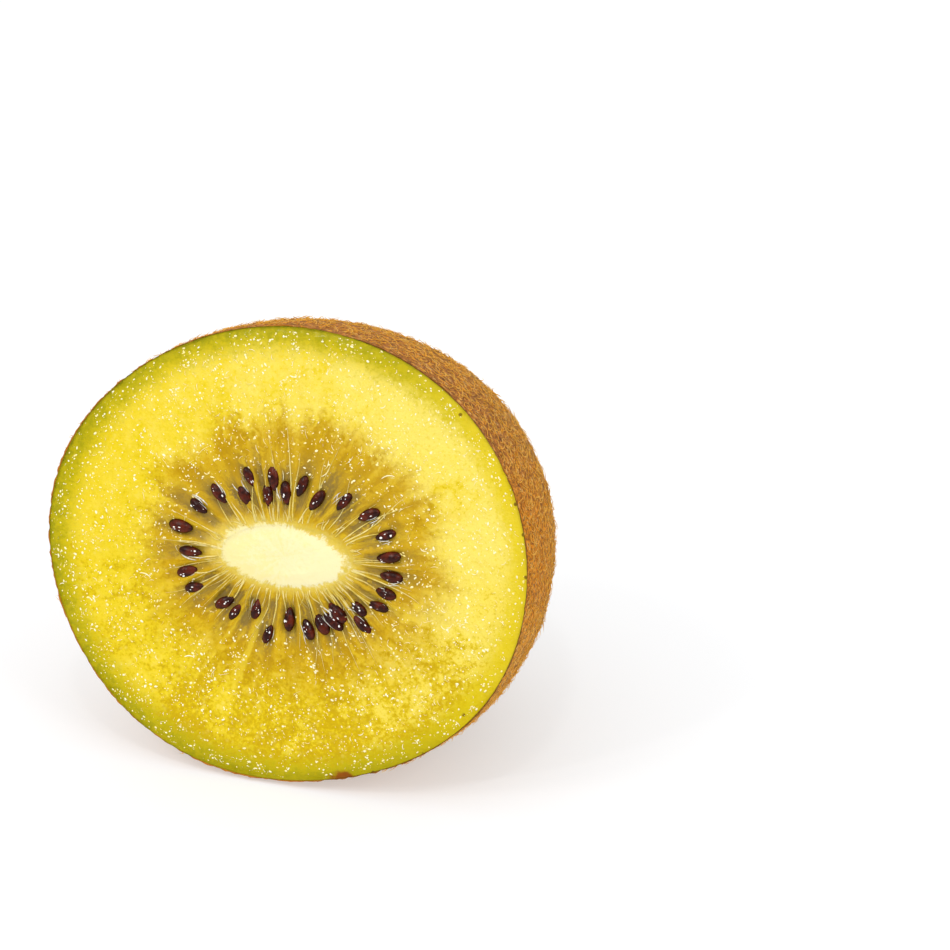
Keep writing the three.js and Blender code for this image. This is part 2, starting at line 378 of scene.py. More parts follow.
def colourCutFace(finish, chamber):
    face = cutFace
    x, y, _ = finish.parts(finish.fruitPlace())
    radius = (x * x + y * y).root().most(0.01)
    edge = oval(x, y, face["halfWidth"], face["halfHeight"])
    tiltX, tiltY = math.cos(face["coreTilt"]), math.sin(face["coreTilt"])
    fromCore = x - face["coreShift"]
    core = oval(
        fromCore * tiltX + y * tiltY, y * tiltX - fromCore * tiltY,
        face["coreHalfWidth"], face["coreHalfHeight"],
    )
    zone = oval(
        x - face["zoneShift"], y - face["zoneRise"], face["zoneHalfWidth"], face["zoneHalfHeight"]
    )
    flat = finish.vector(x, y, 0.0)

    clouds = finish.noise(flat, 0.17, 4, 0.55, 0.6)
    mottle = finish.noise(flat, 0.65, 3, 0.6)
    grain = finish.noise(flat, 2.4, 3, 0.65)
    sway = mottle - 0.5
    broad = streaks(finish, x, y, radius, 5, 0.07, sway)
    fine = streaks(finish, x, y, radius, 15, 0.10, sway * 3)
    thread = streaks(finish, x, y, radius, 34, 0.16, sway * 7, 2)

    # painted light and shade: over its own cloudy tone, the flesh is painted paler towards the top and
    # the upper right, and darker, deeper yellow towards the bottom
    litFromAbove = (x * 0.1 + y * 0.95) / face["halfHeight"]
    right = (x * 0.75 + y * 0.5) / face["halfHeight"]
    shade = clouds * 0.26 + mottle * 0.32 + grain * 0.42 + (broad - 0.5) * 0.3
    finish.colour = finish.blend((shade + litFromAbove * 0.10).step(0.40, 0.62), "lemon", "cloud")
    finish.lay((shade + right * 0.17).step(0.46, 0.66) * 0.9, "pale")
    finish.lay((shade + litFromAbove * 0.16).step(0.47, 0.33) * 0.9, "deepLemon")
    pulp = finish.cells(flat, 1.5)
    finish.lay(pulp.step(0.5, 0.1) * fine.step(0.42, 0.62) * 0.4, "pale")
    finish.lay(grain.step(0.50, 0.66) * 0.45, "lemon")

    # the golden zone, crisp above and fading slowly below
    below = y.step(2.0, -10.0)
    reach = zone + (broad - 0.5) * 0.38 + (fine - 0.5) * 0.32 + (grain - 0.5) * 0.2
    golden = 1 - reach.step(0.82 - below * 0.14, 1.08 + below * 0.2)
    goldShare = (mottle * 0.5 + fine * 0.5).step(0.38, 0.62)
    goldTone = finish.blend(goldShare, "deepGold", "gold")
    finish.lay(golden * 0.92, goldTone)

    # pale rays, strongest round the core and lost in the outer flesh, and broad fans below
    rays = fine.step(0.50, 0.68) * (1 - (zone + (broad - 0.5) * 0.9).step(0.60, 1.40))
    finish.lay(rays * 0.45, "ray")
    fan = streaks(finish, x, y, radius, 8, 0.03, sway, 2)
    fanShare = fan.step(0.54, 0.66) * y.step(1.0, -7.0) * (1 - zone.step(1.15, 1.5))
    finish.lay(fanShare * zone.step(0.45, 0.6) * 0.55, "cloud")
    threads = thread.step(0.60, 0.72) * (1 - zone.step(0.6, 1.2))
    finish.lay(threads * 0.5, "ray")

    # the see-through chambers round the seeds, with murk between them too
    ring = core.step(1.15, 1.8) * (1 - (zone + (broad - 0.5) * 0.5).step(0.48, 0.80))
    murk = (chamber * 1.2 + ring * 0.5) * (0.62 + (0.5 - thread) * 1.6 + (0.5 - fine) * 1.8)
    finish.lay(murk.most(0.0).least(0.92), "olive")

    # the core, with an uneven outline and a narrow paler border outside it
    outline = core + (mottle - 0.5) * 0.32 + (fine - 0.5) * 0.4 + (grain - 0.5) * 0.3
    finish.lay((1 - outline.step(1.0, 1.4)) * 0.75, "innerCream")
    creamTone = finish.blend((shade + x * 0.03).step(0.35, 0.55), "paleCream", "cream")
    finish.lay(1 - outline.step(0.92, 1.07), creamTone)

    # lemon and then green under the skin, the green least at the right
    aside = (y * 0.3 - x * 0.8) / radius
    rim = edge + (mottle - 0.5) * 0.09 + (grain - 0.5) * 0.10
    greenSide = x.step(25.0, 8.0)
    finish.lay(rim.step(0.89, 0.975) * 0.85, "lemon")
    finish.lay(rim.step(0.85, 0.99) * (greenSide * 0.68 + 0.14), "green")
    patches = finish.noise(flat, 1.15, 3, 0.6).step(0.42, 0.60)
    deepSide = (greenSide * (0.7 + aside * 0.4)).least(0.9)
    deepShare = rim.step(0.91, 1.01) * (patches * 0.45 + 0.1) * deepSide
    finish.lay(deepShare, "deepGreen")

    # one small bruise by the lower edge
    bruiseX, bruiseY = face["bruisePlace"]
    away = oval(x - bruiseX, y - bruiseY, face["bruiseRadius"], face["bruiseRadius"] / 2)
    finish.lay(1 - (away + (mottle - 0.5) * 1.2).step(0.4, 1.0), "bruise")

    # dark specks along the rim at the right
    specks = finish.cells(flat, 0.65).step(0.17, 0.10) * edge.step(0.972, 0.985)
    finish.lay(specks * aside.step(0.1, -0.3) * 0.8, "speck")
    finish.colour = finish.blend(1.0, finish.colour, "tone", "MULTIPLY")
    return flat, thread, mottle


def fleshFinish():
    finish = Finish("wetGoldenFlesh", cutFace)
    chamber = finish.attribute("chamber")
    flat, thread, mottle = colourCutFace(finish, chamber)
    grain = finish.noise(flat, 3.2, 3, 0.6)
    pulp = finish.cells(flat, 0.9)
    height = grain * 0.5 + mottle * 0.6 + pulp * 0.35 + thread * 0.3
    return finish.done({
        "Base Color": finish.colour,
        "Roughness": 0.34 - chamber * 0.2 + grain * 0.12,
        "Normal": finish.bump(height, 0.16 * mm, 0.8),
        "IOR": 1.36,
        "Specular IOR Level": 0.13,
        "Coat Weight": 0.03 + chamber * 0.3,
        "Coat Roughness": 0.08,
        "Subsurface Weight": 0.2,
        "Subsurface Radius": (1.0, 0.75, 0.2),
        "Subsurface Scale": 1.2 * mm,
    })


def coreFinish():
    finish = Finish("paleCoreFlesh", cutFace)
    flat, thread, _ = colourCutFace(finish, 0.0)
    grain = finish.noise(flat, 4.0, 3, 0.6)
    return finish.done({
        "Base Color": finish.colour,
        "Roughness": 0.42 + grain * 0.2,
        "Normal": finish.bump(grain + thread * 0.4, 0.08 * mm, 0.7),
        "IOR": 1.36,
        "Specular IOR Level": 0.15,
        "Coat Weight": 0.05,
        "Coat Roughness": 0.2,
        "Subsurface Weight": 0.3,
        "Subsurface Radius": (1.0, 0.9, 0.5),
        "Subsurface Scale": 1.0 * mm,
    })


# What the skin's colours are made of.
skinColours = {
    "brown": (0.78, 0.26, 0.004),
    "pale": (0.86, 0.40, 0.055),
    # painted reflection of the sky, on the top of the skin by the cut
    "mauve": (0.50, 0.18, 0.040),
    "golden": (0.60, 0.30, 0.016),
    "olive": (0.37, 0.20, 0.012),
    "cut": (0.46, 0.17, 0.015),
    # painted shade on the skin's cut edge, along the line between flesh and skin at the right
    "darkCut": (0.19, 0.07, 0.010),
    "dark": (0.10, 0.035, 0.008),
    "dot": (0.72, 0.42, 0.11),
    "hairRoot": (0.80, 0.33, 0.020),
    "hair": (1.0, 0.70, 0.14),
    "wood": (0.20, 0.105, 0.045),
    "woodPale": (0.46, 0.30, 0.14),
}


def skinFinish():
    finish = Finish("drySkin", skinColours)
    place = finish.fruitPlace()
    x, y, z = finish.parts(place)
    depth = z * -1
    tone = finish.noise(place, 0.13, 4, 0.55)
    patch = finish.noise(place, 0.5, 4, 0.6)
    finish.colour = finish.blend(tone.step(0.30, 0.66), "olive", "golden")
    finish.lay(patch.step(0.35, 0.7) * 0.7, "brown")
    nearCut = 1 - (depth + (patch - 0.5) * 9).step(3.0, 18.0)
    # by the cut the skin is brown, mauve towards the top as a painted reflection of the sky above, and
    # paler towards the bottom
    height = y + (patch - 0.5) * 8
    upper = height.step(4.0, 15.0)
    lower = height.step(0.0, -12.0)
    side = finish.blend(upper, "brown", "mauve")
    side = finish.blend(lower * 0.8, side, "pale")
    finish.lay(nearCut * 0.85, side)
    dots = finish.cells(place, 1.15)
    dotMask = 1 - dots.step(0.20, 0.36)
    # painted shade round the raised dots
    finish.lay(dots.step(0.36, 0.62) * 0.35, "dark")
    finish.lay(dotMask * 0.7, "dot")
    flecks = finish.cells(place, 0.55)
    fleckMask = (1 - flecks.step(0.10, 0.22)) * patch.step(0.42, 0.56)
    finish.lay(fleckMask * 0.85, "dark")
    fine = finish.noise(place, 3.2, 3, 0.65)
    # painted shade in the gaps between the hairs
    finish.lay((1 - fine).step(0.46, 0.60) * 0.75, "dark")
    # the skin's cut edge is orange-brown, with painted shade darkening it towards the right along the
    # line between flesh and skin
    rim = 1 - (depth + (fine - 0.5) * 0.3).step(0.05, 0.35)
    rightward = (x + (fine - 0.5) * 9).step(0.0, 9.0)
    finish.lay(rim * 0.85, finish.blend(rightward, "cut", "darkCut"))
    relief = patch * 0.5 + fine * 0.45 + dotMask * 0.5
    return finish.done({
        "Base Color": finish.colour,
        "Roughness": 0.62 + fine * 0.25 - dotMask * 0.15,
        "Normal": finish.bump(relief, 0.22 * mm, 0.9),
        "Specular IOR Level": 0.10,
        "Sheen Weight": 0.03,
        "Sheen Roughness": 0.5,
        "Sheen Tint": (0.9, 0.5, 0.2, 1),
    })


def hairFinish(name):
    finish = Finish(name, skinColours)
    tone = finish.noise(finish.fruitPlace(), 0.6, 3)
    finish.colour = finish.blend(finish.attribute("along"), "hairRoot", "hair")
    finish.lay(tone.step(0.45, 0.65) * 0.3, "hairRoot")
    return finish.done({
        "Base Color": finish.colour,
        "Roughness": 0.5 + tone * 0.2,
        "Specular IOR Level": 0.15,
    })


def woodFinish():
    finish = Finish("stalkWood", skinColours)
    place = finish.fruitPlace()
    grain = finish.noise(place, 2.4, 4, 0.7, 0.8)
    fibre = finish.noise(place, 7.0, 3, 0.6)
    finish.colour = finish.blend(grain.step(0.35, 0.65), "wood", "woodPale")
    finish.lay(fibre.step(0.55, 0.7) * 0.7, "dark")
    return finish.done({
        "Base Color": finish.colour,
        "Roughness": 0.75 + fibre * 0.15,
        "Normal": finish.bump(grain + fibre * 0.6, 0.3 * mm),
    })


def seedFinish():
    finish = Finish("glossySeed")
    place = finish.fruitPlace()
    tone = finish.noise(place, 1.1, 3, 0.6)
    dimple = finish.noise(place, 3.0, 2, 0.5)
    colour = finish.blend(tone.step(0.4, 0.7), (0.022, 0.002, 0.001), (0.11, 0.012, 0.002))
    return finish.done({
        "Base Color": colour,
        "Roughness": 0.12 + dimple * 0.16,
        "Normal": finish.bump(dimple, 0.12 * mm, 0.7),
        "Specular IOR Level": 0.12,
        "Coat Weight": 0.12,
        "Coat Roughness": 0.05,
    })


# Near-white beads and curls on the cut flesh: painted glints.
def beadFinish():
    finish = Finish("wetBead")
    tone = finish.noise(finish.fruitPlace(), 0.9, 2)
    return finish.done({
        "Base Color": finish.blend(tone.step(0.35, 0.65), (0.97, 0.80, 0.26), (1.0, 0.95, 0.66)),
        "Roughness": 0.08 + tone * 0.1,
        "Specular IOR Level": 0.8,
        "Coat Weight": 0.6,
        "Coat Roughness": 0.03,
    })


def glintFinish():
    finish = Finish("seedGlint")
    tone = finish.noise(finish.fruitPlace(), 2.0, 2)
    return finish.done({
        "Base Color": finish.blend(tone, (0.93, 0.88, 0.80), (1.0, 1.0, 1.0)),
        "Roughness": 0.2 + tone * 0.1,
        "Coat Weight": 0.5,
        "Coat Roughness": 0.03,
    })


def strandFinish():
    finish = Finish("paleStrand")
    tone = finish.noise(finish.fruitPlace(), 0.8, 3)
    return finish.done({
        "Base Color": finish.blend(tone.step(0.35, 0.65), (0.70, 0.50, 0.06), (0.88, 0.72, 0.26)),
        "Roughness": 0.2 + tone * 0.15,
        "Specular IOR Level": 0.4,
        "Coat Weight": 0.2,
        "Coat Roughness": 0.06,
        "Subsurface Weight": 0.3,
        "Subsurface Radius": (1.0, 0.8, 0.3),
        "Subsurface Scale": 0.5 * mm,
    })


# See-through film with near-white streaks: painted highlights along the seeds.
def filmFinish():
    finish = Finish("clearFilm")
    tone = finish.noise(finish.fruitPlace(), 2.2, 3, 0.6)
    return finish.done({
        "Base Color": finish.blend(tone, (0.80, 0.76, 0.60), (1.0, 1.0, 0.95)),
        "Roughness": 0.05 + tone * 0.12,
        "Alpha": 0.45 + tone.step(0.40, 0.65) * 0.5,
        "Specular IOR Level": 0.8,
        "Coat Weight": 0.6,
        "Coat Roughness": 0.03,
    })


# Waves in many directions added up: a soft unevenness from about -1 to 1, of one grain size.
def unevenness(points, size, start, count=26):
    draw = np.random.default_rng(start)
    directions = draw.normal(size=(count, 3))
    directions /= np.linalg.norm(directions, axis=1)[:, None]
    turns = 2 * math.pi / (size * draw.uniform(0.7, 1.5, count))
    phases = draw.uniform(0, 2 * math.pi, count)
    total = np.zeros(points.shape[:-1])
    for direction, rate, phase in zip(directions, turns, phases):
        total += np.cos(points @ direction * rate + phase)
    return total / math.sqrt(count * 2)


# Unevenness round a ring, from a band of wave numbers.
def ringWaves(turn, fewest, most, start, count=24):
    draw = np.random.default_rng(start)
    waves = draw.integers(fewest, most + 1, count)
    phases = draw.uniform(0, 2 * math.pi, count)
    return sum(np.cos(n * turn + p) for n, p in zip(waves, phases)) / math.sqrt(count * 2)


def ringMesh(name, rings, start, end):
    # a closed mesh over rings of points, in the fruit's own frame, with its faces pointing out
    rows, columns = rings.shape[:2]
    points = np.concatenate([rings.reshape(-1, 3), [start], [end]])
    column = np.arange(columns)
    following = (column + 1) % columns
    upper = np.arange(rows - 1)[:, None] * columns
    quads = np.stack(
        [upper + column, upper + columns + column, upper + columns + following, upper + following], -1
    ).reshape(-1, 4)
    first, last = rows * columns, rows * columns + 1
    lastRow = (rows - 1) * columns
    fans = np.concatenate([
        np.stack([np.full(columns, first), column, following], -1),
        np.stack([np.full(columns, last), lastRow + following, lastRow + column], -1),
    ])
    corners = [points[quads[:, i]] for i in range(4)]
    halves = [(corners[0], corners[1], corners[2]), (corners[0], corners[2], corners[3])]
    volume = sum(np.einsum("ij,ij->i", a, np.cross(b, c)).sum() for a, b, c in halves)
    if volume < 0:
        quads, fans = quads[:, ::-1], fans[:, ::-1]
    mesh = bpy.data.meshes.new(name)
    mesh.from_pydata(points.tolist(), [], quads.tolist() + fans.tolist())
    mesh.polygons.foreach_set("use_smooth", np.ones(len(mesh.polygons), bool))
    return mesh


def addAttribute(mesh, name, values):
    attribute = mesh.attributes.new(name, "FLOAT", "POINT")
    attribute.data.foreach_set("value", np.asarray(values, np.float32).ravel())


def keepInBox(mesh):
    # presses what would stand out of the solids' box back to it
    points = np.empty(len(mesh.vertices) * 3, np.float32)
    mesh.vertices.foreach_get("co", points)
    held = np.clip(points.reshape(-1, 3), np.array(cadBox[0]), np.array(cadBox[1]))
    mesh.vertices.foreach_set("co", held.astype(np.float32).ravel())


def addPiece(name, mesh, material, replaced=None):
    # a piece in the part's frame that rides on the fruit
    mesh.transform(toPart)
    keepInBox(mesh)
    mesh.materials.clear()
    mesh.materials.append(material)
    mesh.update()
    piece = bpy.data.objects.new(name, mesh)
    bpy.context.scene.collection.objects.link(piece)
    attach(piece, "root")
    if replaced:
        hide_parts(replaced)
    print(name, "made,", sum(len(p.vertices) - 2 for p in mesh.polygons), "triangles")
    return piece


# The flesh's cut face and its seed chambers.
flesh = {
    "columns": 512,
    "faceRows": 124,
    "bodyRows": 14,
    "bodyStart": 0.02,
    "bodyEnd": 0.93,
    "socketRows": 3,
    "inset": 0.22 * mm,
    "bodyInset": 0.55 * mm,
    "stepGrowth": 1.15,
    "chamberSink": 0.46 * mm,
    "chamberStart": 0.05,
    "chamberEnd": 0.41,
    "chamberReach": (0.82, 1.2),
    "chamberFullness": (0.55, 1.15),
    "chamberWall": (0.10, 0.2),
    "fibreHeight": 0.07 * mm,
    "swell": 0.2 * mm,
    "lumps": ((7.0 * mm, 0.10 * mm), (2.2 * mm, 0.05 * mm), (0.8 * mm, 0.028 * mm)),
    "edgeDrop": 0.24 * mm,
    "coreDepth": 27 * mm,
    "coreTip": 1 * mm,
    "coreNarrowing": 0.55,
    "corner": 0.0008,  # a last narrow row on both sides keeps the corner round the core sharp
    "chamberDraw": 5,
    "fibreWaves": (70, 190),
    "fibreDraw": 3,
    "fibrePatch": 4 * mm,
    "fibrePatchDraw": 8,
    "lumpDraw": 20,
}


def wallInset(atCut, along):
    # walls under the skin step inwards behind the cut, so that no dip of the skin meets them
    return atCut + (flesh["bodyInset"] - atCut) * smoothStep(0.0, 0.04, along)


def corePoint(angle, deep):
    narrowed = 1 - (1 - flesh["coreNarrowing"]) * deep
    x = cutFace["coreHalfWidth"] * mm * narrowed * np.cos(angle)
    y = cutFace["coreHalfHeight"] * mm * narrowed * np.sin(angle)
    return np.stack(np.broadcast_arrays(x, y, -flesh["coreDepth"] * deep), -1)


def chamberShare(turn, across):
    # 1 in the middle of a chamber and 0 on the rays between them
    draw = np.random.default_rng(flesh["chamberDraw"])
    count = fruit["chambers"]
    reach = draw.uniform(*flesh["chamberReach"], count)
    fullness = draw.uniform(*flesh["chamberFullness"], count)
    wall = draw.uniform(*flesh["chamberWall"], count)
    part = (turn / (2 * math.pi) * count) % count
    which = np.floor(part).astype(int) % count
    inside = part - np.floor(part)
    wall = wall[which]
    pocket = band(wall * 0.4, wall + 0.22, 0.78 - wall, 1 - wall * 0.4, inside)
    end = flesh["chamberEnd"] * reach[which]
    begin = flesh["chamberStart"]
    return pocket * band(begin, begin + 0.07, end * 0.5, end, across) * fullness[which]


def faceHeight(turn, across, points):
    zone = band(0.0, 0.05, 0.35, 0.75, across)
    patches = unevenness(points, flesh["fibrePatch"], flesh["fibrePatchDraw"])
    fibres = ringWaves(turn, *flesh["fibreWaves"], flesh["fibreDraw"]) * (0.6 + 0.4 * patches)
    height = -flesh["chamberSink"] * chamberShare(turn, across)
    height = height + flesh["fibreHeight"] * fibres * zone
    height = height + flesh["swell"] * band(0.3, 0.6, 0.85, 1, across)
    lumpShare = smoothStep(0.0, 0.15, across)
    for number, (size, amount) in enumerate(flesh["lumps"]):
        height = height + amount * unevenness(points, size, flesh["lumpDraw"] + number) * lumpShare
    return height - flesh["edgeDrop"] * smoothStep(0.93, 1.0, across) ** 2


def facePoints(turn, across):
    angle = crowdedAngle(turn)
    inner = corePoint(angle, 0.0)
    outer = pressed(bodyPoint(angle, 0.0, flesh["inset"]), flesh["inset"])
    points = inner + (outer - inner) * across[..., None]
    points[..., 2] = faceHeight(turn, across, points)
    return points


def makeFlesh():
    turn = evenTurns(flesh["columns"])
    angle = crowdedAngle(turn)
    rows = flesh["faceRows"]
    across = (np.arange(rows)[:, None] / (rows - 1)) ** flesh["stepGrowth"]
    across[1] = flesh["corner"]
    across = np.broadcast_to(across, (rows, flesh["columns"]))
    faceTurn = np.broadcast_to(turn, across.shape)
    face = facePoints(faceTurn, across)
    deep = np.append(np.linspace(1, 0, flesh["socketRows"] + 1)[:-1], flesh["corner"])[:, None]
    socket = corePoint(angle, deep)
    behind = np.linspace(flesh["bodyStart"], flesh["bodyEnd"], flesh["bodyRows"])
    along = np.append(flesh["corner"], behind)[:, None]
    body = pressed(bodyPoint(angle, along, wallInset(flesh["inset"], along)), flesh["bodyInset"])
    rings = np.concatenate([socket, face, body])
    tip = (0, 0, -flesh["coreDepth"] - flesh["coreTip"])
    far = (0, 0, -fruit["halfLength"] + flesh["inset"])
    mesh = ringMesh("goldenFlesh", rings, tip, far)
    # where the painted glints grow on the cut face
    wet = band(0.10, 0.42, 0.975, 0.995, across)
    for key, onFace in {"chamber": chamberShare(faceTurn, across), "wet": wet}.items():
        values = np.zeros(rings.shape[:2])
        values[len(socket):len(socket) + rows] = onFace
        addAttribute(mesh, key, np.append(values.ravel(), (0, 0)))
    return addPiece("goldenFlesh", mesh, fleshFinish(), "flesh")


# The core's cut end and its hidden column.
core = {
    "columns": 256,
    "faceRows": 30,
    "sideRows": 6,
    "rise": 0.26 * mm,
    "flatShare": 0.55,
    "grain": ((1.6 * mm, 0.035 * mm), (0.5 * mm, 0.016 * mm)),
    "grainDraw": 40,
}


def makeCore():
    angle = evenTurns(core["columns"])
    deep = np.append(np.linspace(1, 0, core["sideRows"])[:-1], flesh["corner"])
    side = corePoint(angle, deep[:, None])
    share = np.linspace(1, 0, core["faceRows"] + 1)[:-1, None]
    share[1] = 1 - flesh["corner"]
    face = corePoint(angle, 0.0)[None] * share[..., None]
    height = core["rise"] * (1 - smoothStep(core["flatShare"], 1.0, share)) + 0 * angle
    for number, (size, amount) in enumerate(core["grain"]):
        grain = unevenness(face, size, core["grainDraw"] + number)
        height = height + amount * grain * (1 - share ** 8)
    face[..., 2] = height
    tip = (0, 0, -flesh["coreDepth"] - flesh["coreTip"])
    mesh = ringMesh("paleCore", np.concatenate([side, face]), tip, (0, 0, core["rise"]))
    return addPiece("paleCore", mesh, coreFinish(), "core")


# The skin: a thin shell with a ragged cut edge.
skin = {
    "columns": 480,
    "rows": 150,
    "innerRows": 12,
    "rowGrowth": 1.25,
    "lastRow": 0.998,
    "innerEnd": 0.93,
    "inset": 0.10 * mm,
    "thickness": 0.10 * mm,
    "wallGap": 0.02 * mm,
    "lip": 0.05 * mm,
    "unevenness": ((9 * mm, 0.08 * mm), (2.6 * mm, 0.045 * mm), (0.7 * mm, 0.035 * mm)),
    "unevenDraw": 60,
    "ragged": 0.11 * mm,
    "raggedDepth": 1.0 * mm,
    "raggedWaves": (30, 170),
    "raggedDraw": 71,
    "setBack": 0.03 * mm,
    "rimSwing": 0.002,
    "rimWaves": (40, 200),
    "rimDraw": 72,
    # where hairs grow: away from the floor and the cut, and fewer far behind it
    "hairsAboveFloor": (0.5 * mm, 1.6 * mm),
    "hairsBehindCut": (0.1 * mm, 1.3 * mm),
    "hairsFewer": (6 * mm, 14 * mm),
    "hairsLost": 0.35,
}


def outwardFrom(points):
    axes = np.array((fruit["halfWidth"], fruit["halfHeight"], fruit["halfLength"]))
    normal = points / axes ** 2
    return normal / np.linalg.norm(normal, axis=-1, keepdims=True)


def skinSurface(turn):
    along = (np.arange(skin["rows"])[:, None] / skin["rows"]) ** skin["rowGrowth"]
    along = along * skin["lastRow"]
    points = bodyPoint(turn, along, skin["inset"])
    lift = np.zeros(points.shape[:2])
    for number, (size, amount) in enumerate(skin["unevenness"]):
        lift += amount * unevenness(points, size, skin["unevenDraw"] + number)
    lift = np.minimum(lift, skin["inset"])
    points = points + outwardFrom(points) * lift[..., None]
    torn = np.exp(-((points[..., 2] / skin["raggedDepth"]) ** 2))
    ragged = skin["ragged"] * ringWaves(turn, *skin["raggedWaves"], skin["raggedDraw"])
    points[..., 2] += ragged * torn - skin["setBack"] * torn
    swing = skin["rimSwing"] * (ringWaves(turn, *skin["rimWaves"], skin["rimDraw"]) - 0.5)
    points[..., :2] *= 1 + (swing * torn)[..., None]
    return pressed(points)


def makeSkin():
    turn = evenTurns(skin["columns"])
    outside = skinSurface(turn)
    inset = skin["inset"] + skin["thickness"]
    along = np.linspace(skin["innerEnd"], 0, skin["innerRows"])[:, None]
    wall = wallInset(inset, along) - skin["wallGap"]
    inside = pressed(bodyPoint(turn, along, wall), inset)
    inside[-1, :, 2] = outside[0, :, 2] - skin["lip"]
    rings = np.concatenate([outside[::-1], inside[::-1]])
    far = (0, 0, -fruit["halfLength"] + skin["inset"])
    mesh = ringMesh("brownSkin", rings, far, (0, 0, -fruit["halfLength"] + inset))
    hairy = np.zeros(rings.shape[:2])
    height = (outside @ turnArray.T)[..., 2] + facePlace.z
    depth = -outside[..., 2]
    onOutside = smoothStep(*skin["hairsAboveFloor"], height)
    onOutside = onOutside * smoothStep(*skin["hairsBehindCut"], depth)
    onOutside = onOutside * (1 - skin["hairsLost"] * smoothStep(*skin["hairsFewer"], depth))
    hairy[:len(outside)] = onOutside[::-1]
    addAttribute(mesh, "hairy", np.append(hairy.ravel(), (0, 0)))
    return addPiece("brownSkin", mesh, skinFinish(), "skin")


# The woody ring left by the stalk, on the far end.
stalk = {
    "columns": 96,
    "rowsBetween": 4,
    "profile": (
        (3.9, -0.75), (3.3, -0.32), (2.75, 0.0), (2.38, 0.5), (2.22, 1.0), (2.12, 1.32),
        (1.9, 1.44), (1.6, 1.42), (1.3, 1.1), (1.1, 0.8), (0.6, 0.68),
    ),
    "middle": 0.72 * mm,
    "ridges": 0.11 * mm,
    "ridgeWaves": (9, 30),
    "ridgeDraw": 81,
    "torn": 0.10 * mm,
    "tornWaves": (4, 22),
    "tornDraw": 82,
    "lowered": 0.05 * mm,
    "tallest": 1.44 * mm,
    "buried": 1.2 * mm,
}


def makeStalkRing():
    turn = evenTurns(stalk["columns"])
    profile = np.array(stalk["profile"]) * mm
    station = np.linspace(0, len(profile) - 1, (len(profile) - 1) * stalk["rowsBetween"] + 1)
    radius = np.interp(station, np.arange(len(profile)), profile[:, 0])[:, None]
    height = np.interp(station, np.arange(len(profile)), profile[:, 1])[:, None]
    share = smoothStep(0.4 * mm, 1.2 * mm, radius)
    raised = smoothStep(-0.3 * mm, 0.6 * mm, height)
    ridges = ringWaves(turn, *stalk["ridgeWaves"], stalk["ridgeDraw"])
    lift = stalk["ridges"] * ridges * share * raised
    torn = ringWaves(turn, *stalk["tornWaves"], stalk["tornDraw"])
    tear = stalk["torn"] * torn * smoothStep(0.9 * mm, 1.4 * mm, height) - stalk["lowered"] * share
    x = (radius + lift) * np.cos(turn)
    y = (radius + lift) * np.sin(turn)
    z = -(fruit["halfLength"] + np.minimum(height + tear, stalk["tallest"])) + 0 * turn
    rings = np.stack([x, y, z], -1)
    under = (0, 0, -fruit["halfLength"] + stalk["buried"])
    top = (0, 0, -fruit["halfLength"] - stalk["middle"])
    mesh = ringMesh("stalkRing", rings, under, top)
    return addPiece("stalkRing", mesh, woodFinish())


